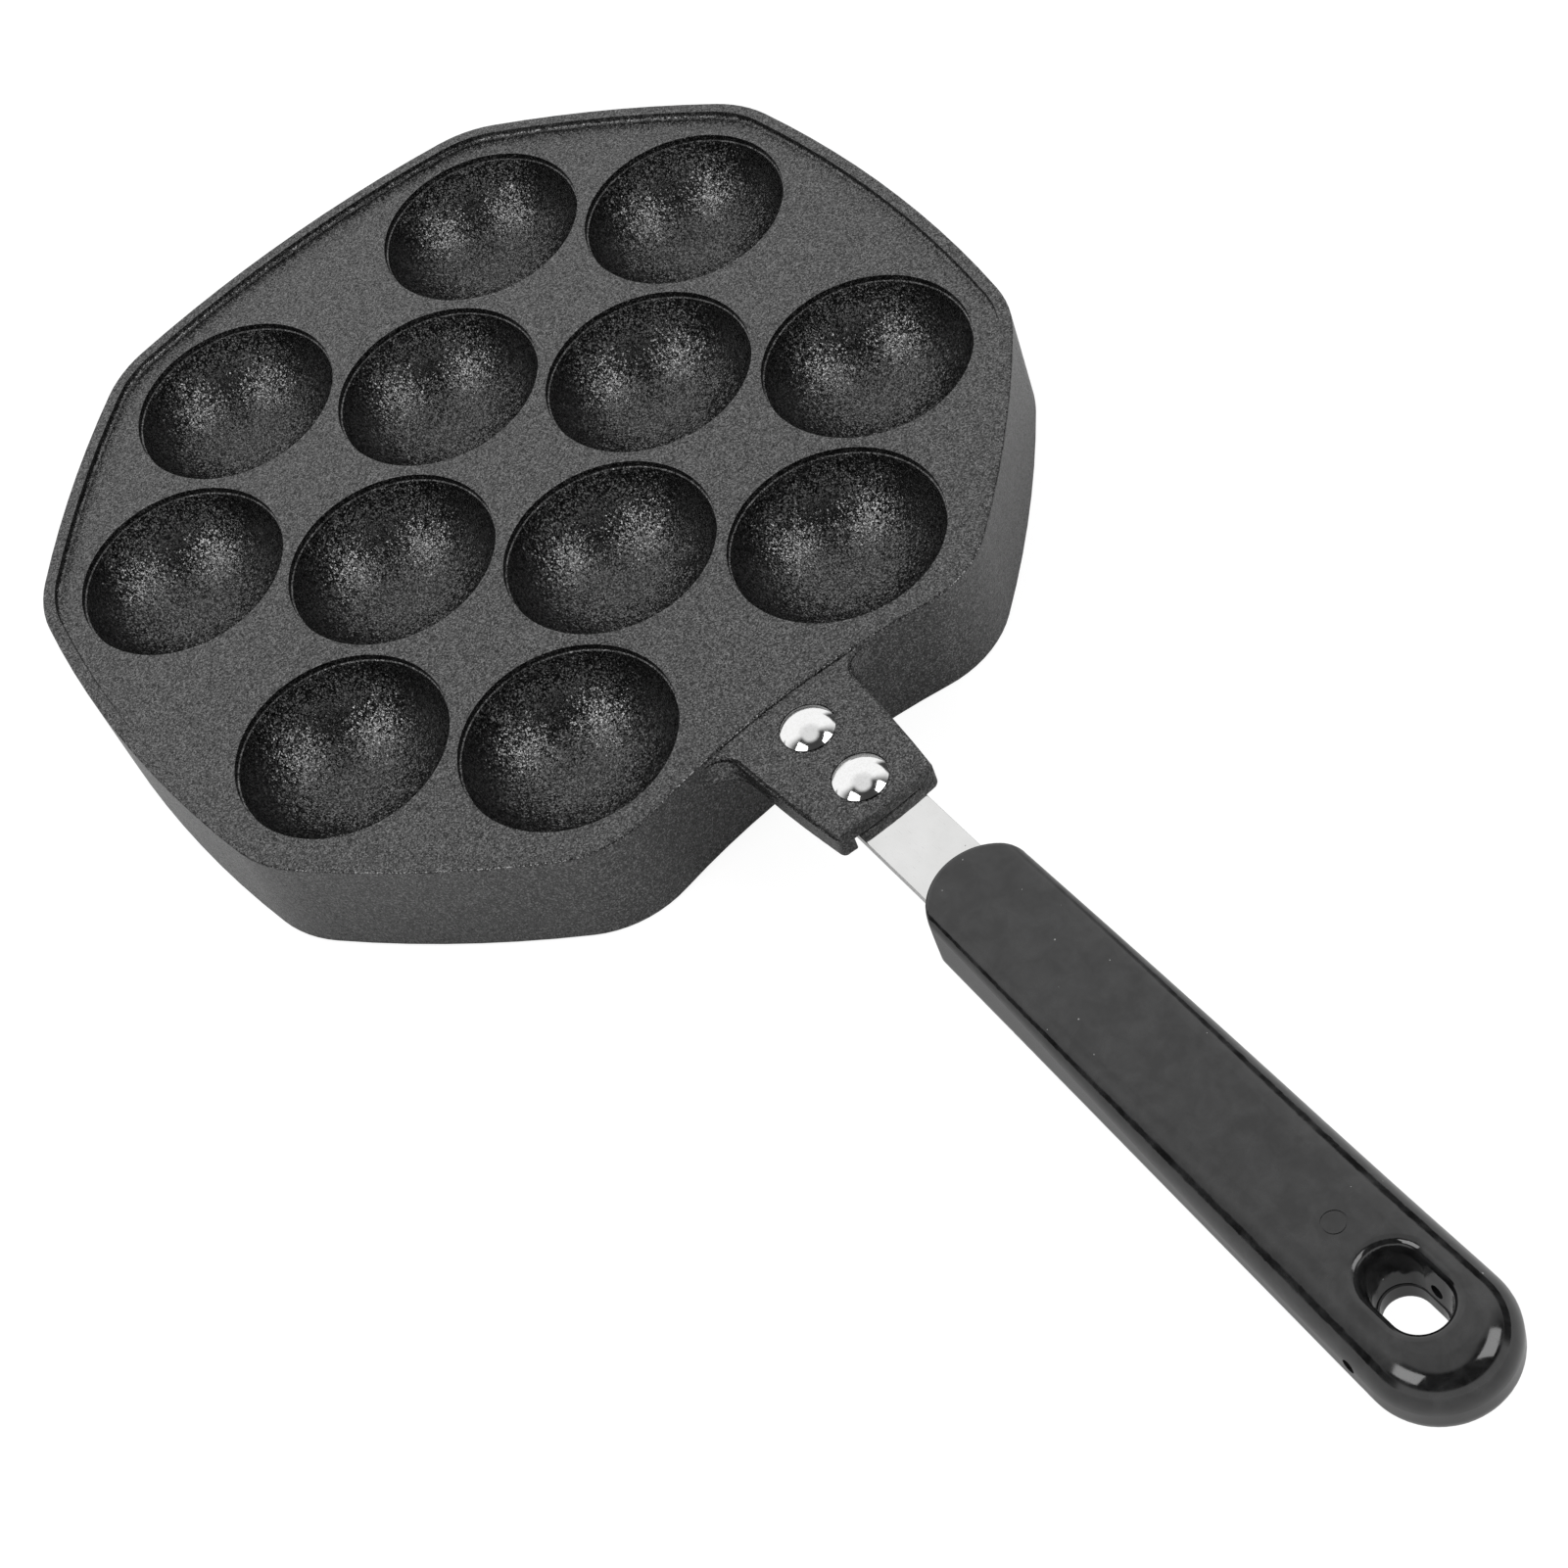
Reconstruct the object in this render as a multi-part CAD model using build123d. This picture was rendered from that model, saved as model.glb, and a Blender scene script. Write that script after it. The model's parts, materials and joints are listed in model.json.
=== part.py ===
from build123d import *
import math
import os

# Takoyaki pan: cast plate with twelve cups, a lug with a channel, a riveted flat tang and a
# moulded grip. Millimetres, +Z up, base plane at z = 0, origin under the middle of the plate,
# handle towards +X.

# ---------------------------------------------------------------- driving dimensions
# plate
WEB_Z = 22.2            # top of the recessed web above the base plane
RIM_H = 1.5             # raised rim above the web
RIM_W = 2.55            # width of the raised rim
WEB_T = 3.0             # web thickness
SKIRT_T = 3.0           # skirt thickness
SIDE_D = 96.4           # centre to the four diagonal sides
FLAT_D = 92.9           # centre to the -X and both Y sides
LUG_SIDE_D = 86.7       # centre to the hollow side that carries the lug
SIDE_BOW = 240.0        # bow radius of the seven outward sides
LUG_SIDE_BOW = 157.0    # bow radius of the inward side
CORNER_R = 24.0         # corner radius between outward sides
LUG_CORNER_R = 22.0     # corner radius beside the inward side
RIM_EDGE_R = 0.45       # outer rim edge rounding
RIM_FOOT_R = 0.7        # rounding at the foot of the rim step
BASE_EDGE_R = 0.6       # rounding of the skirt's lower edge

# cups
PITCH = 44.3            # cup pitch on the square grid
CUP_R = 21.0            # cup radius at the web
CUP_LAND_D = 1.3        # depth of the straight land under the cup's edge
CUP_LAND_R = 20.9       # radius at the foot of the land
CUP_STEP_R = 20.65      # radius where the bowl starts
CUP_DEPTH = 18.6        # cup depth below the web
CUP_T = 2.6             # cup wall

# lug
LUG_TOP_Z = WEB_Z + 1.0     # top of the lug plate
LUG_STEP_Z = WEB_Z - 0.1    # small ledge along the lug's sides
LUG_STEP_W = 0.35           # how far the channel walls stand proud of the plate edge
LUG_LOW_Z = WEB_Z - 5.4     # bottom of the channel walls
LUG_SLOT_Z = WEB_Z - 1.95   # underside of the lug plate
LUG_SLOT_Y = (-7.75, 7.3)   # the channel's side walls
LUG_TOP_R = 0.25            # rounding of the plate's upper edge
LUG_MOUTH_R = 0.45          # rounding under the plate's end edge
LUG_END_X = 119.0           # lug end on the centre line
LUG_END_CX = 118.5          # lug end at its corners
LUG_FLARE_TOP = 5.0         # plan fillet from the plate edge into the skirt
LUG_FLARE_LOW = 7.5         # plan fillet from the channel wall into the skirt

# handle (modelled on the X axis, then swung a little about HANDLE_PIVOT)
HANDLE_SKEW = -0.45         # degrees
HANDLE_PIVOT = (100.0, 0.0)
TANG_W = 13.65
TANG_DY = 0.2               # the strip sits a little to the left of the grip's middle
TANG_T = 1.8
TANG_TOP_Z = LUG_SLOT_Z
TANG_X0 = 88.3
TANG_X1 = 190.0
TANG_HOLE_D = 6.5
TANG_HOLES = (160.0, 178.0)

GRIP_TOP_Z = WEB_Z + 4.0
GRIP_LOW_Z = WEB_Z - 9.7
NOSE_X = 149.2              # centre of the nose arc
NOSE_R = 11.2
TAIL_X = 255.0              # centre of the tail arc
GRIP_HW = (11.1, 12.8)      # half width at the nose centre and at the tail centre
GRIP_EDGE_R = (2.8, 6.5)    # upper edge radius, growing from the nose to the tail
GRIP_DRAFT = (6.0, 0.0)     # degrees, wall draft from the nose to the tail
GRIP_LOW_R = 4.4            # lower long edges and tail
NOSE_EDGE_R = (1.1, 0.9, 0.6)      # the first that holds
HANG_X0, HANG_X1 = 240.55, 256.85   # the hanging hole's ends at the top, before rounding
HANG_R = 5.3                # its half width at the top, before rounding
HANG_Y = 0.4                # it sits a little to the left of the grip's middle
HANG_DX = (2.9, 1.2)        # how far the inner and outer ends come in down to the parting
HANG_DY = 1.05              # the same at the sides
HANG_ROLL_R = (1.8, 1.5, 1.2)       # rounding of the upper edge, the first that holds
HANG_PART_Z = WEB_Z - 5.0   # level of the parting inside the hole
HANG_LEDGE_X, HANG_LEDGE_Y = 0.35, 0.15     # ledge where the two halves of the mould meet
HANG_LOW_R = 1.7            # rounding of the lower edge
PIN_X, PIN_Z, PIN_D = 249.7, WEB_Z - 2.6, 2.5   # small cross hole
MARK_X, MARK_D, MARK_W, MARK_DEPTH = 233.6, 4.3, 0.28, 0.14   # round ejector mark, a fine ring

# rivets
RIVET_X = (95.5, 111.15)
RIVET_Y = 0.15
RIVET_SEAT_D = 10.8         # shallow seat in the lug plate around each head
RIVET_SEAT_DEPTH = 0.35
RIVET_HEAD_D = 10.1
RIVET_HEAD_H = 2.0          # above the lug plate
RIVET_LAND_H = 0.15         # straight land above the lug plate
RIVET_SHANK_D = 5.0
RIVET_HOLE_D = 5.1
RIVET_TAIL_D = 8.0
RIVET_TAIL_H = 1.5

os.makedirs("parts", exist_ok=True)


# ---------------------------------------------------------------- helpers
def vec(a, b):
    return (b[0] - a[0], b[1] - a[1])


def along(a, b, d):
    """the point at distance d from a towards b"""
    v = vec(a, b)
    n = math.hypot(*v)
    return (a[0] + v[0] * d / n, a[1] + v[1] * d / n)


def side_data():
    """centre, radius, sign and normal of each of the eight sides, the lug side first"""
    out = []
    for k in range(8):
        a = math.radians(45 * k)
        n = (math.cos(a), math.sin(a))
        if k == 0:
            d, r, s = LUG_SIDE_D, LUG_SIDE_BOW, -1
            c = (n[0] * (d + r), n[1] * (d + r))
        else:
            d = FLAT_D if k % 2 == 0 else SIDE_D
            r, s = SIDE_BOW, 1
            c = (n[0] * (d - r), n[1] * (d - r))
        out.append((c, r, s, n))
    return out


def corner_centres():
    sides = side_data()
    out = []
    for k in range(8):
        (c1, r1, s1, n1), (c2, r2, s2, n2) = sides[k], sides[(k + 1) % 8]
        rc = LUG_CORNER_R if k in (0, 7) else CORNER_R
        q1, q2 = r1 - s1 * rc, r2 - s2 * rc
        d = math.dist(c1, c2)
        a = (q1 * q1 - q2 * q2 + d * d) / (2 * d)
        h = math.sqrt(max(q1 * q1 - a * a, 0.0))
        u = ((c2[0] - c1[0]) / d, (c2[1] - c1[1]) / d)
        m = (c1[0] + u[0] * a, c1[1] + u[1] * a)
        cand = [(m[0] - u[1] * h, m[1] + u[0] * h), (m[0] + u[1] * h, m[1] - u[0] * h)]
        w = math.radians(45 * k + 22.5)
        aim = (80 * math.cos(w), 80 * math.sin(w))
        out.append((min(cand, key=lambda p: math.dist(p, aim)), rc))
    return out


def arc(c, r, p, q):
    """the short arc of a circle from p to q"""
    m = ((p[0] + q[0]) / 2, (p[1] + q[1]) / 2)
    return ThreePointArc(p, along(c, m, r), q)


def plate_outline(off):
    """closed face of the plate's plan outline, offset outwards by off"""
    sides, corners = side_data(), corner_centres()
    edges = []
    for k in range(8):
        c, r, s, n = sides[k]
        (qa, ra), (qb, rb) = corners[k - 1], corners[k]
        rr = r + s * off
        p0, p1 = along(c, qa, rr), along(c, qb, rr)
        edges.append(arc(c, rr, p0, p1))
        c2, r2, s2, n2 = sides[(k + 1) % 8]
        p2 = along(c2, qb, r2 + s2 * off)
        edges.append(arc(qb, rb + off, p1, p2))
    return make_face(Wire(edges))


def cup_centres():
    out = []
    for i in (-1.5, -0.5, 0.5, 1.5):
        for j in (-1.5, -0.5, 0.5, 1.5):
            if abs(i) == 1.5 and abs(j) == 1.5:
                continue
            out.append(((i - j) / math.sqrt(2) * PITCH, (i + j) / math.sqrt(2) * PITCH))
    return out


def prism(face, z0, z1):
    return extrude(Pos(0, 0, z0) * face, amount=z1 - z0, dir=(0, 0, 1))


def edges_at(shape, z, tol=1e-3):
    out = []
    for e in shape.edges():
        b = e.bounding_box()
        if abs(b.min.Z - z) < tol and abs(b.max.Z - z) < tol:
            out.append(e)
    return out


# ---------------------------------------------------------------- casting
DISH_R = ((CUP_STEP_R ** 2 + (CUP_DEPTH - CUP_LAND_D - 0.15) ** 2)
          / (2 * (CUP_DEPTH - CUP_LAND_D - 0.15)))
DISH_Z = WEB_Z - CUP_DEPTH + DISH_R


def cup_cutter():
    z = WEB_Z
    y0 = z - CUP_LAND_D
    y1 = y0 - 0.15
    a = math.asin(CUP_STEP_R / DISH_R) / 2
    mid = (DISH_R * math.sin(a), DISH_Z - DISH_R * math.cos(a))
    top = z + 4.0
    pts = [(0, top), (CUP_R, top), (CUP_R, z), (CUP_LAND_R, y0), (CUP_STEP_R, y1)]
    lines = [Line((p[0], 0, p[1]), (q[0], 0, q[1])) for p, q in zip(pts, pts[1:])]
    bowl = ThreePointArc((CUP_STEP_R, 0, y1), (mid[0], 0, mid[1]), (0, 0, z - CUP_DEPTH))
    close = Line((0, 0, z - CUP_DEPTH), (0, 0, top))
    return revolve(make_face(Wire(lines + [bowl, close])), Axis.Z)


def cup_shell():
    """outside of one cup, from the web down"""
    r = DISH_R + CUP_T
    top = WEB_Z
    rt = math.sqrt(r * r - (DISH_Z - top) ** 2)
    a = math.asin(rt / r) / 2
    mid = (r * math.sin(a), DISH_Z - r * math.cos(a))
    low = DISH_Z - r
    e = [Line((0, 0, top), (rt, 0, top)),
         ThreePointArc((rt, 0, top), (mid[0], 0, mid[1]), (0, 0, low)),
         Line((0, 0, low), (0, 0, top))]
    return revolve(make_face(Wire(e)), Axis.Z)


def lug_plan(grow, flare):
    """plan of the lug joined to the plate outline, with a flare on both sides"""
    a, b, c = (84.0, 12.9 + grow), (104.0, 12.0 + grow), (LUG_END_CX, 10.35 + grow)
    side = ThreePointArc(a, b, c)
    end = ThreePointArc(c, (LUG_END_X, 0), (c[0], -c[1]))
    back = ThreePointArc((c[0], -c[1]), (b[0], -b[1]), (a[0], -a[1]))
    close = Line((a[0], -a[1]), a)
    lug = make_face(Wire([side, end, back, close]))
    both = Sketch() + plate_outline(0) + lug
    joints = [v for v in both.vertices() if 84 < v.X < 92 and 10 < abs(v.Y) < 16]
    both = fillet(joints, flare)
    ends = [v for v in both.vertices() if v.X > 117 and abs(v.Y) > 8]
    both = fillet(ends, 0.9 + grow)
    keep = Pos(106.0, 0) * Rectangle(41.4, 48.0)
    return both & keep


outer = prism(plate_outline(0), 0, WEB_Z + RIM_H)
outer = fillet(edges_at(outer, 0), BASE_EDGE_R)
outer = fillet(edges_at(outer, WEB_Z + RIM_H), RIM_EDGE_R)

cups = [Pos(x, y, 0) * cup_cutter() for x, y in cup_centres()]
shells = [Pos(x, y, 0) * cup_shell() for x, y in cup_centres()]

hollow = prism(plate_outline(-SKIRT_T), -1.0, WEB_Z - WEB_T)
for s in shells:
    hollow = hollow - s

recess = prism(plate_outline(-RIM_W), WEB_Z, WEB_Z + 5)
recess = fillet(edges_at(recess, WEB_Z), RIM_FOOT_R)

upper = prism(lug_plan(0.0, LUG_FLARE_TOP), LUG_STEP_Z - 0.5, LUG_TOP_Z)
upper = fillet([e for e in edges_at(upper, LUG_TOP_Z) if e.bounding_box().max.X > 86], LUG_TOP_R)
lower = loft([Pos(0, 0, z) * lug_plan(LUG_STEP_W, flare) for z, flare in
              ((LUG_LOW_Z, LUG_FLARE_LOW), (LUG_STEP_Z, LUG_FLARE_TOP + 0.01))], ruled=True)
print("channel body", lower.is_valid, round(lower.volume))
slot = Pos(87.6, LUG_SLOT_Y[0], 0) * Box(60, LUG_SLOT_Y[1] - LUG_SLOT_Y[0],
                                        2 * (LUG_SLOT_Z - LUG_LOW_Z) + 0.001,
                                        align=(Align.MIN, Align.MIN, Align.CENTER))
slot = Pos(0, 0, LUG_LOW_Z) * slot


def wall_edges(s):
    """long edges under the two channel walls and the edges at their ends"""
    return [e for e in edges_at(s, LUG_LOW_Z)
            if e.bounding_box().min.X > 85.35 or e.bounding_box().size.X > 8.0]


lower = lower - slot
for r in (1.3, 1.1, 0.9, 0.7):
    try:
        done = fillet(wall_edges(lower), r)
        if done.is_valid:
            lower = done
            print("channel walls rounded", r)
            break
    except Exception as err:
        print("channel walls not rounded with", r, str(err)[:60])

casting = outer - recess
casting = casting - hollow
casting = casting + lower + upper
casting = casting - slot
for c in cups:
    casting = casting - c
for x in RIVET_X:
    casting = casting - Pos(x, RIVET_Y, LUG_SLOT_Z - 1) * Cylinder(
        RIVET_HOLE_D / 2, 8, align=(Align.CENTER, Align.CENTER, Align.MIN))
    casting = casting - Pos(x, RIVET_Y, LUG_TOP_Z - RIVET_SEAT_DEPTH) * Cylinder(
        RIVET_SEAT_D / 2, 3, align=(Align.CENTER, Align.CENTER, Align.MIN))


def try_fillet(shape, pick, r):
    edges = pick(shape)
    if not edges:
        print("no edges for", r)
        return shape
    try:
        out = fillet(edges, r)
        if out.is_valid and abs(out.volume - shape.volume) < 0.2 * shape.volume:
            return out
        print("fillet not kept", r, len(edges))
    except Exception as err:
        print("fillet failed", r, len(edges), str(err)[:60])
    return shape


def lug_mouth_edges(s):
    """the edge under the plate's end, over the channel"""
    out = []
    for e in edges_at(s, LUG_SLOT_Z):
        b = e.bounding_box()
        if b.min.X > 118 and b.size.Y > 10:
            out.append(e)
    return out


# ---------------------------------------------------------------- handle
def swing(shape):
    """turn a handle piece about the pivot"""
    px, py = HANDLE_PIVOT
    return Pos(px, py, 0) * Rot(0, 0, HANDLE_SKEW) * Pos(-px, -py, 0) * shape


def tang_local():
    w = TANG_W / 2
    blank = Pos((TANG_X0 + TANG_X1) / 2, TANG_DY) * RectangleRounded(TANG_X1 - TANG_X0, TANG_W, 2.0)
    body = prism(blank, TANG_TOP_Z - TANG_T, TANG_TOP_Z)
    body = fillet(edges_at(body, TANG_TOP_Z), 0.2)
    for x in TANG_HOLES:
        body = body - Pos(x, TANG_DY, TANG_TOP_Z - TANG_T - 1) * Cylinder(
            TANG_HOLE_D / 2, TANG_T + 2, align=(Align.CENTER, Align.CENTER, Align.MIN))
    return body


def grip_half(hw, ru, draft):
    """points of one side of the grip's section, from the top centre to the bottom centre"""
    zt, zl, rl = GRIP_TOP_Z, GRIP_LOW_Z, GRIP_LOW_R
    d = math.radians(draft)
    c, n = math.cos(d), math.sin(d)
    cl = (hw - rl, zl + rl)
    p3 = (cl[0] + rl * c, cl[1] + rl * n)
    L = (zt - ru + ru * n - p3[1]) / c
    p2 = (p3[0] - L * n, p3[1] + L * c)
    cu = (p2[0] - ru * c, zt - ru)
    m1 = math.radians((90 + draft) / 2)
    m2 = math.radians((draft - 90) / 2)
    return [(cu[0], zt), (cu[0] + ru * math.cos(m1), cu[1] + ru * math.sin(m1)), p2, p3,
            (cl[0] + rl * math.cos(m2), cl[1] + rl * math.sin(m2)), (cl[0], zl)]


def grip_section(x, hw, ru, draft):
    q = grip_half(hw, ru, draft)
    r = [(x, p[0], p[1]) for p in q]
    l = [(x, -p[0], p[1]) for p in q]
    return make_face(Wire([
        Line(l[0], r[0]), ThreePointArc(r[0], r[1], r[2]), Line(r[2], r[3]),
        ThreePointArc(r[3], r[4], r[5]), Line(r[5], l[5]), ThreePointArc(l[5], l[4], l[3]),
        Line(l[3], l[2]), ThreePointArc(l[2], l[1], l[0])]))


def ease(x, x0, x1):
    t = min(max((x - x0) / (x1 - x0), 0.0), 1.0)
    return t * t * (3 - 2 * t)


def grip_station(x):
    """half width, upper edge radius and draft of the grip at x"""
    hw = GRIP_HW[0] + (GRIP_HW[1] - GRIP_HW[0]) * (x - NOSE_X) / (TAIL_X - NOSE_X)
    ru = GRIP_EDGE_R[0] + (GRIP_EDGE_R[1] - GRIP_EDGE_R[0]) * ease(x, 148.0, 236.0)
    dr = GRIP_DRAFT[0] + (GRIP_DRAFT[1] - GRIP_DRAFT[0]) * ease(x, 142.0, 225.0)
    return hw, ru, dr


def grip_local():
    bar = loft([grip_section(x, *grip_station(x)) for x in (120 + 13.5 * k for k in range(11))])
    q = grip_half(*grip_station(TAIL_X))
    p = [(0, v[0], v[1]) for v in q]
    zt, zl = GRIP_TOP_Z, GRIP_LOW_Z
    half = make_face(Wire([
        Line((0, 0, zt), p[0]), ThreePointArc(p[0], p[1], p[2]), Line(p[2], p[3]),
        ThreePointArc(p[3], p[4], p[5]), Line(p[5], (0, 0, zl)), Line((0, 0, zl), (0, 0, zt))]))
    tail = revolve(half, Axis.Z, revolution_arc=-180)
    if tail.bounding_box().max.X < 1:
        tail = revolve(half, Axis.Z, revolution_arc=180)
    bar = bar + Pos(TAIL_X, 0, 0) * tail
    front = Pos(NOSE_X - 40, 0) * Rectangle(80, 60) - Pos(NOSE_X, 0) * Circle(NOSE_R)
    bar = bar - prism(front, GRIP_LOW_Z - 1, GRIP_TOP_Z + 1)
    return bar


def nose_edges(s):
    """the crisp edges where the nose arc meets the top, the bottom and the rounded sides"""
    out = []
    for e in s.edges():
        ok = True
        for t in (0.0, 0.25, 0.5, 0.75, 1.0):
            p = e @ t
            if abs(math.hypot(p.X - NOSE_X, p.Y) - NOSE_R) > 0.02 or p.X > NOSE_X:
                ok = False
        if ok and e.bounding_box().size.Z < 5:
            out.append(e)
    return out


def hang_slot(inx, iny, z):
    """the hole's outline, brought in by inx at its two ends and iny at the sides"""
    x0, x1, r = HANG_X0 + inx[0], HANG_X1 - inx[1], HANG_R - iny
    return Pos((x0 + x1) / 2, HANG_Y, z) * SlotOverall(x1 - x0, 2 * r)


def hang_upper():
    """drafted walls from above the grip down to the parting"""
    k = 2.0 / (GRIP_TOP_Z - HANG_PART_Z)
    return loft([hang_slot([-k * d for d in HANG_DX], -k * HANG_DY, GRIP_TOP_Z + 2.0),
                 hang_slot(HANG_DX, HANG_DY, HANG_PART_Z)], ruled=True)


def hang_lower():
    """below the parting the hole is a ledge narrower, straight, and rounded at the bottom"""
    r, z1 = HANG_LOW_R, GRIP_LOW_Z + HANG_LOW_R

    def at(g, z):
        return hang_slot([d + HANG_LEDGE_X - g for d in HANG_DX], HANG_DY + HANG_LEDGE_Y - g, z)

    straight = loft([at(0, HANG_PART_Z + 0.001), at(0, z1)], ruled=True)
    steps = [(r * (1 - math.cos(math.radians(15 * k))), z1 - r * math.sin(math.radians(15 * k)))
             for k in range(6)]
    steps.append((r, GRIP_LOW_Z - 0.05))
    return straight, loft([at(g, z) for g, z in steps], ruled=True)


tang = tang_local()
grip = grip_local()
for r in NOSE_EDGE_R:
    before = grip.volume
    grip = try_fillet(grip, nose_edges, r)
    if abs(grip.volume - before) > 0.5:
        print("nose edge rounded", r)
        break
grip = grip - hang_upper()


def hang_rim(s):
    out = []
    for e in s.edges():
        b = e.bounding_box()
        if (b.min.Z > GRIP_TOP_Z - 2 and b.min.X > HANG_X0 - 0.6 and b.max.X < HANG_X1 + 0.6
                and b.max.Y < HANG_Y + HANG_R + 0.6 and b.min.Y > HANG_Y - HANG_R - 0.6):
            out.append(e)
    return out


for r in HANG_ROLL_R:
    before = grip.volume
    grip = try_fillet(grip, hang_rim, r)
    if abs(grip.volume - before) > 1:
        print("hanging hole rolled", r, round(before - grip.volume, 1))
        break
for body in hang_lower():
    grip = grip - body
grip = grip - Pos(PIN_X, 0, PIN_Z) * Rot(90, 0, 0) * Cylinder(PIN_D / 2, 60)
ring = Cylinder(MARK_D / 2, 2 * MARK_DEPTH) - Cylinder(MARK_D / 2 - MARK_W, 2 * MARK_DEPTH)
grip = grip - Pos(MARK_X, 0, GRIP_TOP_Z) * ring
grip = grip - tang

tang = swing(tang)
grip = swing(grip)
for x in RIVET_X:
    tang = tang - Pos(x, RIVET_Y, TANG_TOP_Z - TANG_T - 1) * Cylinder(
        RIVET_HOLE_D / 2, TANG_T + 2, align=(Align.CENTER, Align.CENTER, Align.MIN))


# ---------------------------------------------------------------- rivets
def rivet(x):
    z0 = TANG_TOP_Z - TANG_T
    r, h = RIVET_HEAD_D / 2, RIVET_HEAD_H - RIVET_LAND_H
    R = (r * r + h * h) / (2 * h)
    zc = LUG_TOP_Z + RIVET_HEAD_H - R
    a = math.asin(r / R) / 2
    rs, rt = RIVET_SHANK_D / 2, RIVET_TAIL_D / 2
    zt = z0 - RIVET_TAIL_H
    zs = LUG_TOP_Z - RIVET_SEAT_DEPTH
    e = [Line((0, 0, zt), (rt - 0.8, 0, zt)),
         ThreePointArc((rt - 0.8, 0, zt), (rt - 0.18, 0, zt + 0.35), (rt, 0, zt + 0.9)),
         Line((rt, 0, zt + 0.9), (rt, 0, z0)),
         Line((rt, 0, z0), (rs, 0, z0)),
         Line((rs, 0, z0), (rs, 0, zs)),
         Line((rs, 0, zs), (r, 0, zs)),
         Line((r, 0, zs), (r, 0, LUG_TOP_Z + RIVET_LAND_H)),
         ThreePointArc((r, 0, LUG_TOP_Z + RIVET_LAND_H),
                       (R * math.sin(a), 0, zc + R * math.cos(a)),
                       (0, 0, LUG_TOP_Z + RIVET_HEAD_H)),
         Line((0, 0, LUG_TOP_Z + RIVET_HEAD_H), (0, 0, zt))]
    return Pos(x, RIVET_Y, 0) * revolve(make_face(Wire(e)), Axis.Z)


casting = try_fillet(casting, lug_mouth_edges, LUG_MOUTH_R)

nodes = {
    "pan_casting": casting,
    "handle_tang": tang,
    "handle_grip": grip,
    "rivet_front": rivet(RIVET_X[0]),
    "rivet_rear": rivet(RIVET_X[1]),
}
for name, shape in nodes.items():
    solids = shape.solids()
    print(name, "solids", len(solids), "valid", all(s.is_valid for s in solids),
          "volume cm3", round(sum(s.volume for s in solids) / 1000, 2),
          "box", shape.bounding_box())
    export_step(shape, "parts/" + name + ".step")
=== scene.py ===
import json
import math

import bpy
from mathutils import Matrix, Vector

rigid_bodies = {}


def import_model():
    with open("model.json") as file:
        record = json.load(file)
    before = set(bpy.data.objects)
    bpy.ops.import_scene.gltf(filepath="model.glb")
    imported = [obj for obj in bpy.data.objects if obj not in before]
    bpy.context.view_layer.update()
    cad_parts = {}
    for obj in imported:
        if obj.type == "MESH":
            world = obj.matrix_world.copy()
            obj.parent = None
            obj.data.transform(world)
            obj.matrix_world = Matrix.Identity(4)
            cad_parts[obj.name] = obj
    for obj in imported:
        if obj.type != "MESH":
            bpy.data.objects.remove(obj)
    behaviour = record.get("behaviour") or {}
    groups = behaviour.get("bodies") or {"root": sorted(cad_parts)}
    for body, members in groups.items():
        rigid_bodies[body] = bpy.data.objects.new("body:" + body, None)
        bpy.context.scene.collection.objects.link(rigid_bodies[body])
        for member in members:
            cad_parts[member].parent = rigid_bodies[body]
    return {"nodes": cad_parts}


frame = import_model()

# ------------------------------------------------------------------ clean start
for o in list(bpy.data.objects):
    if o.name not in frame["nodes"] and not o.name.startswith("body:"):
        bpy.data.objects.remove(o, do_unlink=True)
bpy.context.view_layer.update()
scene = bpy.context.scene
scene.view_settings.view_transform = "Standard"
scene.view_settings.look = "None"
scene.view_settings.exposure = 0.0
scene.view_settings.gamma = 1.0


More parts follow.
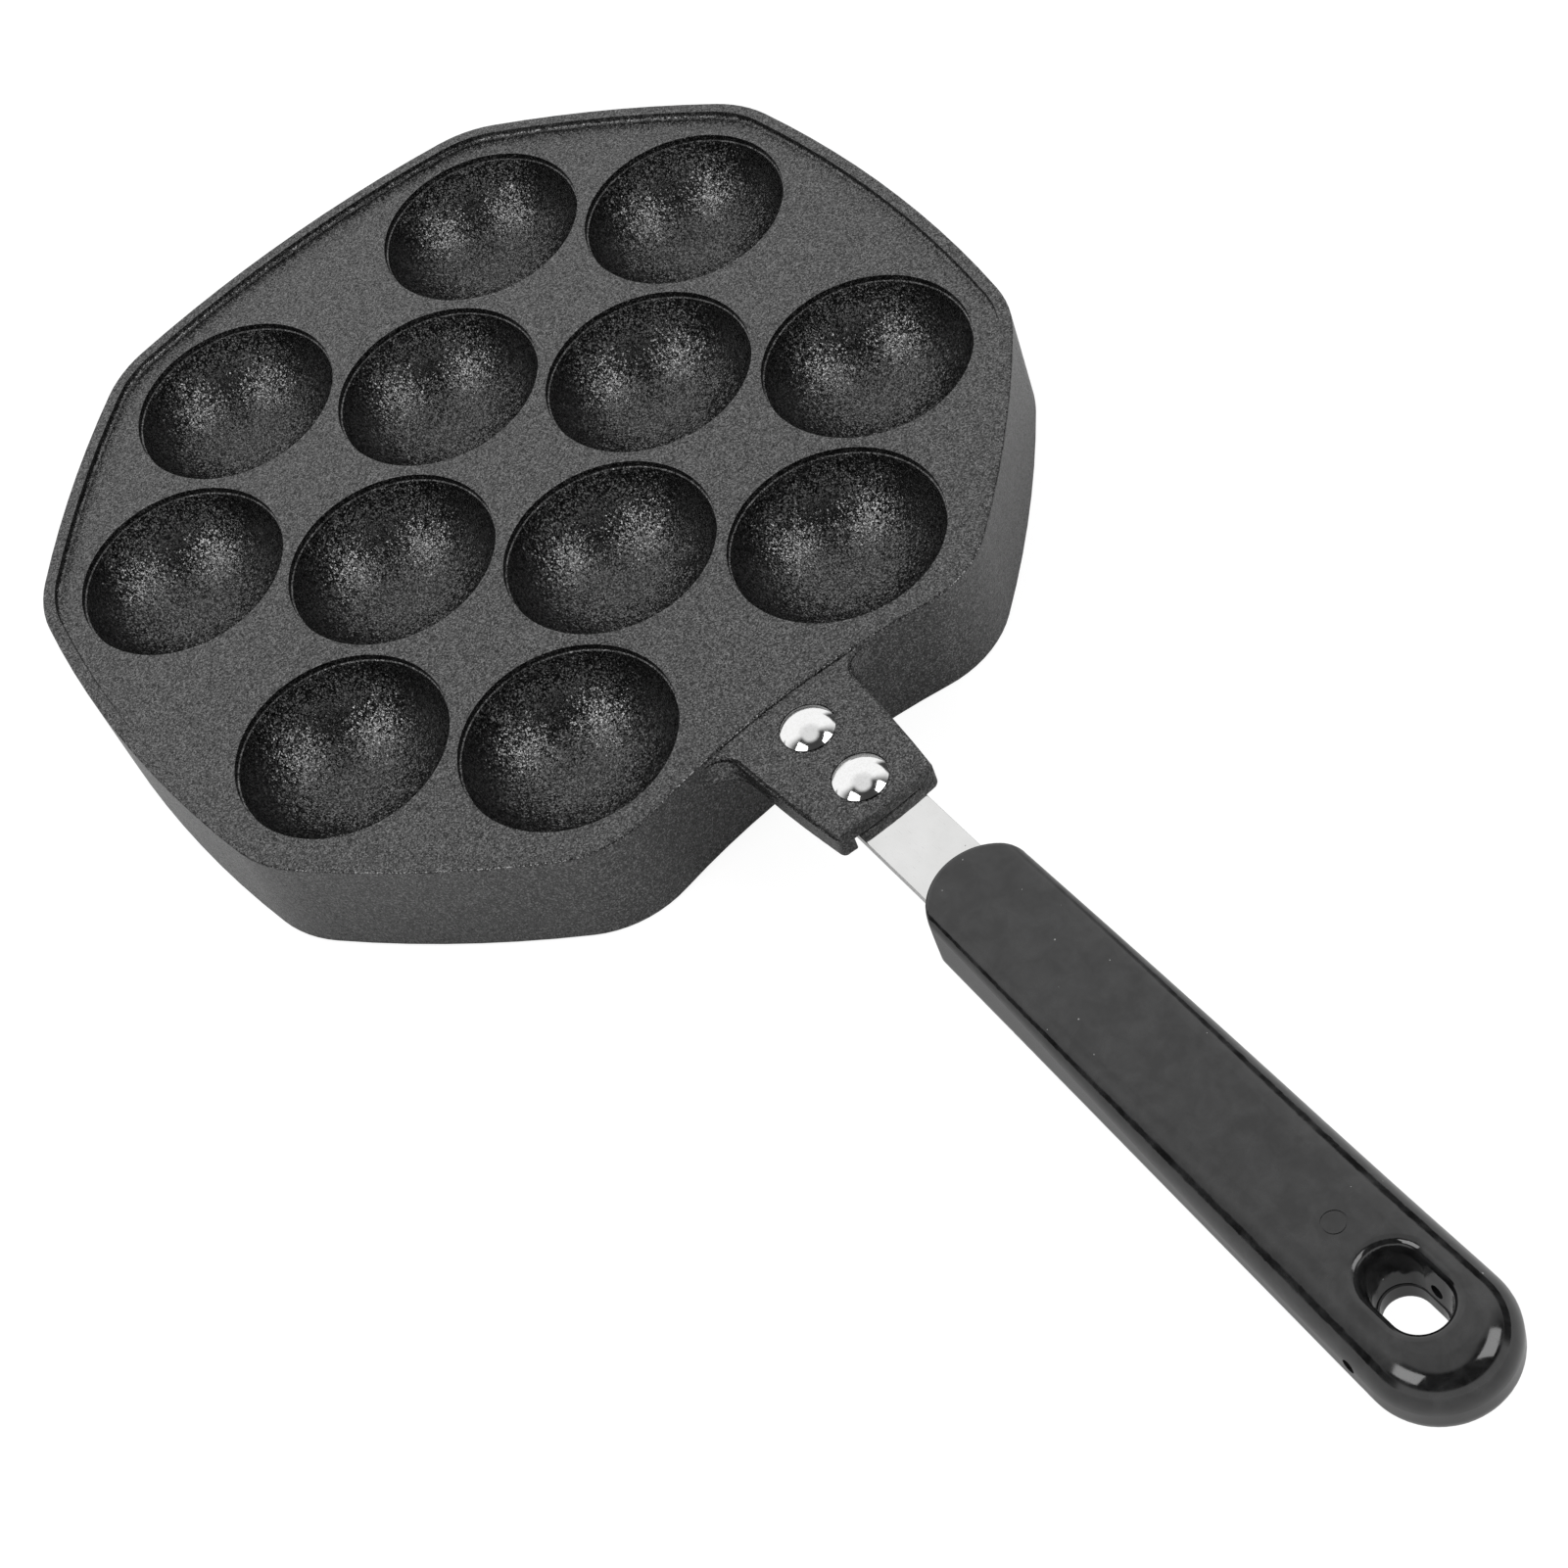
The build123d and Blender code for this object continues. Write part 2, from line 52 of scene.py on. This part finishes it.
# ------------------------------------------------------------------ node helpers
class Net:
    """a short way to write a material's nodes"""

    def __init__(self, name):
        self.mat = bpy.data.materials.new(name)
        self.mat.use_nodes = True
        self.tree = self.mat.node_tree
        for n in list(self.tree.nodes):
            self.tree.nodes.remove(n)
        self.out = self.add("ShaderNodeOutputMaterial")
        self.bsdf = self.add("ShaderNodeBsdfPrincipled")
        self.link(self.bsdf, "BSDF", self.out, "Surface")
        tc = self.add("ShaderNodeTexCoord")
        mp = self.add("ShaderNodeMapping")
        mp.inputs["Scale"].default_value = (1000.0, 1000.0, 1000.0)
        self.tree.links.new(tc.outputs["Object"], mp.inputs["Vector"])
        self.mm = mp.outputs["Vector"]          # position in millimetres

    def add(self, kind, **props):
        n = self.tree.nodes.new(kind)
        for k, v in props.items():
            setattr(n, k, v)
        return n

    def link(self, a, aout, b, bin_):
        self.tree.links.new(a.outputs[aout], b.inputs[bin_])

    def plug(self, sock, value):
        if isinstance(value, bpy.types.NodeSocket):
            self.tree.links.new(value, sock)
        else:
            sock.default_value = value

    def noise(self, scale, detail=2.0, rough=0.5, vec=None, dist=0.0):
        n = self.add("ShaderNodeTexNoise")
        n.inputs["Scale"].default_value = scale
        n.inputs["Detail"].default_value = detail
        n.inputs["Roughness"].default_value = rough
        n.inputs["Distortion"].default_value = dist
        self.tree.links.new(vec if vec is not None else self.mm, n.inputs["Vector"])
        return n.outputs["Fac"]

    def voronoi(self, scale, out="Distance", vec=None, feature="F1", rand=1.0):
        n = self.add("ShaderNodeTexVoronoi")
        n.feature = feature
        n.inputs["Scale"].default_value = scale
        n.inputs["Randomness"].default_value = rand
        self.tree.links.new(vec if vec is not None else self.mm, n.inputs["Vector"])
        return n.outputs[out]

    def math(self, op, a, b=0.0, c=0.0, clamp=False):
        n = self.add("ShaderNodeMath", operation=op, use_clamp=clamp)
        self.plug(n.inputs[0], a)
        self.plug(n.inputs[1], b)
        self.plug(n.inputs[2], c)
        return n.outputs[0]

    def ramp(self, value, a, b, lo=0.0, hi=1.0, smooth=False):
        """value mapped from a..b to lo..hi, held at the ends"""
        n = self.add("ShaderNodeMapRange")
        n.clamp = True
        if smooth:
            n.interpolation_type = "SMOOTHSTEP"
        self.plug(n.inputs["Value"], value)
        n.inputs["From Min"].default_value = a
        n.inputs["From Max"].default_value = b
        n.inputs["To Min"].default_value = lo
        n.inputs["To Max"].default_value = hi
        return n.outputs["Result"]

    def mix(self, fac, a, b):
        n = self.add("ShaderNodeMix", data_type="RGBA")
        self.plug(n.inputs["Factor"], fac)
        self.plug(n.inputs[6], a)
        self.plug(n.inputs[7], b)
        return n.outputs[2]

    def sep(self, vec):
        n = self.add("ShaderNodeSeparateXYZ")
        self.plug(n.inputs[0], vec)
        return n.outputs[0], n.outputs[1], n.outputs[2]

    def comb(self, x, y, z):
        n = self.add("ShaderNodeCombineXYZ")
        for s, v in zip(n.inputs, (x, y, z)):
            self.plug(s, v)
        return n.outputs[0]

    def stretch(self, sx, sy, sz, rot=0.0):
        n = self.add("ShaderNodeMapping")
        n.inputs["Scale"].default_value = (sx, sy, sz)
        n.inputs["Rotation"].default_value = (0, 0, rot)
        self.tree.links.new(self.mm, n.inputs["Vector"])
        return n.outputs["Vector"]

    def bump(self, height, strength, dist_mm, after=None):
        n = self.add("ShaderNodeBump")
        n.inputs["Strength"].default_value = strength
        n.inputs["Distance"].default_value = dist_mm / 1000.0
        self.plug(n.inputs["Height"], height)
        if after is not None:
            self.tree.links.new(after, n.inputs["Normal"])
        return n.outputs["Normal"]

    def vmath(self, op, a, b=None, scale=None):
        n = self.add("ShaderNodeVectorMath", operation=op)
        self.plug(n.inputs[0], a)
        if b is not None:
            self.plug(n.inputs[1], b)
        if scale is not None:
            self.plug(n.inputs["Scale"], scale)
        return n.outputs["Vector"]

    def cells(self, scale, vec=None):
        """random cells: colour, distance"""
        n = self.add("ShaderNodeTexVoronoi")
        n.inputs["Scale"].default_value = scale
        self.tree.links.new(vec if vec is not None else self.mm, n.inputs["Vector"])
        return n.outputs["Color"], n.outputs["Distance"]

    def tilt(self, parts, bumped=None):
        """the normal, tipped by random vectors: (colour in 0..1, amount) pairs"""
        if bumped is None:
            bumped = self.add("ShaderNodeNewGeometry").outputs["Normal"]
        for col, k in parts:
            d = self.vmath("SUBTRACT", col, (0.5, 0.5, 0.5))
            bumped = self.vmath("ADD", bumped, self.vmath("SCALE", d, scale=k))
        return self.vmath("NORMALIZE", bumped)

    def noise_col(self, scale, detail=1.0):
        n = self.add("ShaderNodeTexNoise")
        n.inputs["Scale"].default_value = scale
        n.inputs["Detail"].default_value = detail
        self.tree.links.new(self.mm, n.inputs["Vector"])
        return n.outputs["Color"]

    def set(self, **vals):
        for k, v in vals.items():
            self.plug(self.bsdf.inputs[k.replace("_", " ")], v)


def grey(v, tint=(1.0, 1.0, 1.0)):
    return (v * tint[0], v * tint[1], v * tint[2], 1.0)


# ------------------------------------------------------------------ materials
def coating():
    """dark speckled non-stick coating on cast aluminium: a fine facetted grain"""
    m = Net("coating_speckled")
    fine, fine_d = m.cells(3.9)
    mid, mid_d = m.cells(2.3)
    soft = m.noise_col(3.0, 2.0)
    coarse = m.noise(0.35, 3.0, 0.55)
    f1, f2, f3 = m.sep(fine)
    g1, g2, g3 = m.sep(mid)
    fleck = m.math("MULTIPLY", m.ramp(f1, 0.93, 0.98), m.ramp(fine_d, 0.25, 0.5, 1.0, 0.0))
    base = m.mix(f2, grey(0.0008, (1, 1, 1.05)), grey(0.0045, (1, 1, 1.03)))
    base = m.mix(m.math("MULTIPLY", fleck, 0.3), base, grey(0.20, (0.98, 0.99, 1.0)))
    rough = m.math("ADD", m.ramp(g1, 0.0, 1.0, 0.19, 0.29), m.ramp(f3, 0.0, 1.0, -0.05, 0.05))
    n = m.bump(coarse, 0.35, 0.12)
    px, py, pz = m.sep(m.mm)
    rough = m.math("ADD", rough, m.ramp(px, 117.0, 118.2, 0.0, 0.26))
    calm = m.ramp(px, 116.6, 117.9, 1.0, 0.12)      # the lug's end face is smoother
    n = m.tilt([(fine, m.math("MULTIPLY", calm, 0.36)), (mid, m.math("MULTIPLY", calm, 0.14)),
                (soft, m.math("MULTIPLY", calm, 0.46))], n)
    tone = m.math("POWER", 2.0, m.ramp(f3, 0.0, 1.0, -2.0, 1.15))
    m.set(Base_Color=base, Roughness=rough, Normal=n)
    m.plug(m.bsdf.inputs["Specular Tint"], m.comb(tone, tone, tone))
    m.bsdf.inputs["IOR"].default_value = 1.88
    return m.mat


def steel():
    """polished flat strip with a few pits and hairline scuffs"""
    m = Net("steel_polished")
    v = m.stretch(0.10, 5.0, 5.0)
    grain = m.noise(1.6, 3.0, 0.6, v)
    hair = m.noise(1.1, 2.0, 0.5, m.stretch(0.5, 6.0, 6.0, 0.35))
    patch = m.noise(0.16, 3.0, 0.55)
    col, dist = m.cells(0.55)
    c1, c2, c3 = m.sep(col)
    pits = m.math("MULTIPLY", m.ramp(dist, 0.05, 0.10, 1.0, 0.0), m.ramp(c1, 0.52, 0.56))
    line = m.ramp(hair, 0.67, 0.72)
    base = m.mix(m.ramp(patch, 0.3, 0.7), grey(0.695, (1, 1, 0.99)), grey(0.75, (1, 1, 0.995)))
    base = m.mix(m.math("MULTIPLY", pits, 0.75), base, grey(0.16))
    base = m.mix(m.math("MULTIPLY", line, 0.25), base, grey(0.45))
    rough = m.ramp(grain, 0.3, 0.7, 0.035, 0.075)
    n = m.bump(patch, 0.25, 0.10)
    n = m.bump(grain, 0.05, 0.004, n)
    n = m.bump(pits, 0.4, -0.04, n)
    m.set(Base_Color=base, Roughness=rough, Normal=n)
    m.bsdf.inputs["Metallic"].default_value = 1.0
    return m.mat


def rivet_metal():
    """bright plated dome, slightly uneven from the forming tool"""
    m = Net("rivet_plated")
    wob = m.noise(0.45, 2.0, 0.5)
    fine = m.noise(2.0, 3.0, 0.6)
    col, dist = m.cells(1.6)
    c1, c2, c3 = m.sep(col)
    dent = m.math("MULTIPLY", m.ramp(dist, 0.12, 0.34, 1.0, 0.0, True), m.ramp(c1, 0.5, 1.0))
    base = m.mix(m.ramp(fine, 0.4, 0.7), grey(0.90), grey(0.82, (1, 1, 0.99)))
    rough = m.ramp(fine, 0.35, 0.7, 0.06, 0.12)
    n = m.bump(wob, 0.14, 0.08)
    n = m.bump(fine, 0.10, 0.02, n)
    n = m.bump(dent, 0.16, -0.025, n)
    m.set(Base_Color=base, Roughness=rough, Normal=n)
    m.bsdf.inputs["Metallic"].default_value = 1.0
    return m.mat


def phenolic():
    """black moulded grip, glossy, with faint clouding and a little dust"""
    m = Net("grip_phenolic")
    cloud = m.noise(0.11, 4.0, 0.62, dist=0.6)
    wear = m.noise(0.30, 2.0, 0.5)
    flow = m.noise(0.9, 2.0, 0.5, m.stretch(0.12, 1.0, 1.0))
    col, dist = m.cells(0.42)
    c1, c2, c3 = m.sep(col)
    size = m.ramp(c2, 0.0, 1.0, 0.030, 0.070)
    near = m.math("LESS_THAN", dist, size)
    d = m.math("MULTIPLY", near, m.ramp(c1, 0.70, 0.72))
    film = m.noise(0.24, 5.0, 0.66, dist=0.35)
    base = m.mix(m.ramp(cloud, 0.3, 0.7), grey(0.0035, (1, 1, 1.05)), grey(0.0085, (1, 1.0, 1.0)))
    base = m.mix(m.ramp(film, 0.38, 0.66, 0.0, 0.085), base, grey(0.20, (0.97, 0.98, 1.0)))
    base = m.mix(m.math("MULTIPLY", d, 0.60), base, grey(0.5))
    rough = m.math("ADD", m.ramp(cloud, 0.3, 0.72, 0.055, 0.12), m.ramp(film, 0.44, 0.68, 0.0, 0.11))
    n = m.bump(wear, 0.12, 0.05)
    n = m.bump(flow, 0.06, 0.02, n)
    m.set(Base_Color=base, Roughness=rough, Normal=n)
    m.bsdf.inputs["IOR"].default_value = 1.59
    return m.mat


mats = {"coating": coating(), "steel": steel(), "grip": phenolic(), "rivet": rivet_metal()}
for name, o in frame["nodes"].items():
    key = {"pan_casting": "coating", "handle_tang": "steel", "handle_grip": "grip"}.get(name, "rivet")
    for s in o.material_slots:
        s.material = mats[key]

# ------------------------------------------------------------------ floor
s = 6.0
me = bpy.data.meshes.new("floor")
me.from_pydata([(-s, -s, 0), (s, -s, 0), (s, s, 0), (-s, s, 0)], [], [(0, 1, 2, 3)])
floor = bpy.data.objects.new("floor", me)
floor.location = (0, 0, -0.0003)
scene.collection.objects.link(floor)
fm = bpy.data.materials.new("floor_pale")
fm.use_nodes = True
ft = fm.node_tree
for n in list(ft.nodes):
    ft.nodes.remove(n)
paper = ft.nodes.new("ShaderNodeBsdfDiffuse")
paper.inputs["Color"].default_value = (0.80, 0.80, 0.80, 1)
place = ft.nodes.new("ShaderNodeNewGeometry")
reach = ft.nodes.new("ShaderNodeVectorMath")
reach.operation = "LENGTH"
ft.links.new(place.outputs["Position"], reach.inputs[0])
# painted glow: the floor's emission strength rises with distance from the pan
glow_by_distance = ft.nodes.new("ShaderNodeMapRange")
glow_by_distance.interpolation_type = "SMOOTHSTEP"
for k, x in (("From Min", 0.3), ("From Max", 1.6), ("To Min", 0.0), ("To Max", 0.40)):
    glow_by_distance.inputs[k].default_value = x
ft.links.new(reach.outputs["Value"], glow_by_distance.inputs["Value"])
far_floor_glow = ft.nodes.new("ShaderNodeEmission")      # painted glow: the floor itself emits more light the farther out it lies, standing in for the lit backdrop that the far floor runs up into
far_floor_glow.inputs["Color"].default_value = (1, 1, 1, 1)
ft.links.new(glow_by_distance.outputs["Result"], far_floor_glow.inputs["Strength"])
ground = ft.nodes.new("ShaderNodeAddShader")
ft.links.new(paper.outputs[0], ground.inputs[0])
ft.links.new(far_floor_glow.outputs[0], ground.inputs[1])
seen = ft.nodes.new("ShaderNodeBsdfDiffuse")
seen.inputs["Color"].default_value = (0.22, 0.22, 0.22, 1)
glow = ft.nodes.new("ShaderNodeEmission")
glow.inputs["Color"].default_value = (1, 1, 1, 1)
glow.inputs["Strength"].default_value = 0.90
both = ft.nodes.new("ShaderNodeAddShader")
ft.links.new(seen.outputs[0], both.inputs[0])
ft.links.new(glow.outputs[0], both.inputs[1])
ray = ft.nodes.new("ShaderNodeLightPath")
pick = ft.nodes.new("ShaderNodeMixShader")
ft.links.new(ray.outputs["Is Camera Ray"], pick.inputs[0])
ft.links.new(ground.outputs[0], pick.inputs[1])
ft.links.new(both.outputs[0], pick.inputs[2])
fo = ft.nodes.new("ShaderNodeOutputMaterial")
ft.links.new(pick.outputs[0], fo.inputs["Surface"])
floor.data.materials.append(fm)

# ------------------------------------------------------------------ surroundings
CAM_AZ = -18.1      # where the camera stands, degrees from +X


def direction(az, el):
    a, e = math.radians(az), math.radians(el)
    return Vector((math.cos(a) * math.cos(e), math.sin(a) * math.cos(e), math.sin(e)))


world = bpy.data.worlds.new("studio")
scene.world = world
world.use_nodes = True
wt = world.node_tree
for n in list(wt.nodes):
    wt.nodes.remove(n)


def wn(kind, **props):
    n = wt.nodes.new(kind)
    for k, v in props.items():
        setattr(n, k, v)
    return n


def wmath(op, a, b=0.0, c=0.0):
    n = wn("ShaderNodeMath", operation=op)
    for s_, v in zip(n.inputs, (a, b, c)):
        if isinstance(v, bpy.types.NodeSocket):
            wt.links.new(v, s_)
        else:
            s_.default_value = v
    return n.outputs[0]


def wstep(v, a, b, lo=0.0, hi=1.0):
    n = wn("ShaderNodeMapRange", interpolation_type="SMOOTHSTEP")
    wt.links.new(v, n.inputs["Value"])
    for k, x in (("From Min", a), ("From Max", b), ("To Min", lo), ("To Max", hi)):
        n.inputs[k].default_value = x
    return n.outputs["Result"]


tc = wn("ShaderNodeTexCoord")
sp = wn("ShaderNodeSeparateXYZ")
wt.links.new(tc.outputs["Generated"], sp.inputs[0])
X, Y, Z = sp.outputs
ca, sa = math.cos(math.radians(CAM_AZ)), math.sin(math.radians(CAM_AZ))
flat = wmath("SQRT", wmath("ADD", wmath("MULTIPLY", X, X), wmath("MULTIPLY", Y, Y)))
flat = wmath("MAXIMUM", flat, 1e-4)
toward = wmath("DIVIDE", wmath("ADD", wmath("MULTIPLY", X, ca), wmath("MULTIPLY", Y, sa)), flat)
side = wmath("DIVIDE", wmath("SUBTRACT", wmath("MULTIPLY", Y, ca), wmath("MULTIPLY", X, sa)), flat)
camside = wstep(toward, -0.45, 0.15)            # 1 on the camera's side of the room
high = wmath("MULTIPLY", wstep(Z, 0.30, 0.41), wstep(Z, 0.90, 0.97, 1.0, 0.0))
dark1 = wmath("MULTIPLY", camside, high)
lowz = wstep(Z, 0.33, 0.40, 1.0, 0.0)
left = wstep(side, -0.1, 0.1)
edge_l = wstep(toward, -0.84, -0.70)            # far limit of the low dark zones
edge_r = wstep(toward, -0.56, -0.44)
far = wmath("ADD", wmath("MULTIPLY", left, edge_l),
            wmath("MULTIPLY", wmath("SUBTRACT", 1.0, left), edge_r))
near = wstep(toward, 0.24, 0.44, 1.0, 0.0)
dark2 = wmath("MULTIPLY", lowz, wmath("MULTIPLY", far, near))
dark = wmath("MAXIMUM", dark1, dark2)
roof = wstep(Z, 0.80, 0.97, 1.04, 0.78)         # the ceiling gets dimmer overhead
level = wmath("MULTIPLY", roof, wmath("ADD", 1.0, wmath("MULTIPLY", dark, -0.95)))
bg = wn("ShaderNodeBackground")
wt.links.new(level, bg.inputs["Color"])
bg.inputs["Strength"].default_value = 1.0
plain = wn("ShaderNodeBackground")
plain.inputs["Color"].default_value = (1, 1, 1, 1)
lp = wn("ShaderNodeLightPath")
mixw = wn("ShaderNodeMixShader")
wt.links.new(lp.outputs["Is Camera Ray"], mixw.inputs[0])
wt.links.new(bg.outputs[0], mixw.inputs[1])
wt.links.new(plain.outputs[0], mixw.inputs[2])
ow = wn("ShaderNodeOutputWorld")
wt.links.new(mixw.outputs[0], ow.inputs["Surface"])

AIM = Vector((0.08, 0.0, 0.02))


def softbox(name, az, el, dist, width, height, radiance, roll=0.0):
    d = bpy.data.lights.new(name, "AREA")
    d.shape = "RECTANGLE"
    d.size, d.size_y = width, height
    d.energy = radiance * math.pi * width * height
    o = bpy.data.objects.new(name, d)
    n = direction(az, el)
    o.location = AIM + n * dist
    o.rotation_mode = "QUATERNION"
    o.rotation_quaternion = n.to_track_quat("Z", "Y") @ Matrix.Rotation(roll, 3, "Z").to_quaternion()
    scene.collection.objects.link(o)
    return o


softbox("soft_left", -77.0, 45.0, 1.3, 0.62, 0.62, 4.3)
softbox("soft_right", 44.0, 41.0, 1.3, 0.62, 0.62, 4.0)

# ------------------------------------------------------------------ camera
cam = bpy.data.objects.new("camera", bpy.data.cameras.new("camera"))
cam.data.sensor_fit = "HORIZONTAL"
cam.data.sensor_width = 36.0
cam.data.lens = 3342.964 / 1601.0 * 36.0
cam.data.clip_start, cam.data.clip_end = 0.02, 30.0
right = Vector((0.57856153, 0.7763842, -0.24998826))
down = Vector((0.55409356, -0.59903565, -0.57804551))
look = Vector((-0.59853728, 0.19591801, -0.77676847))
rot = Matrix((right, -down, -look)).transposed()
cam.matrix_world = Matrix.Translation((0.443188, -0.121786, 0.465902)) @ rot.to_4x4()
scene.collection.objects.link(cam)
scene.camera = cam
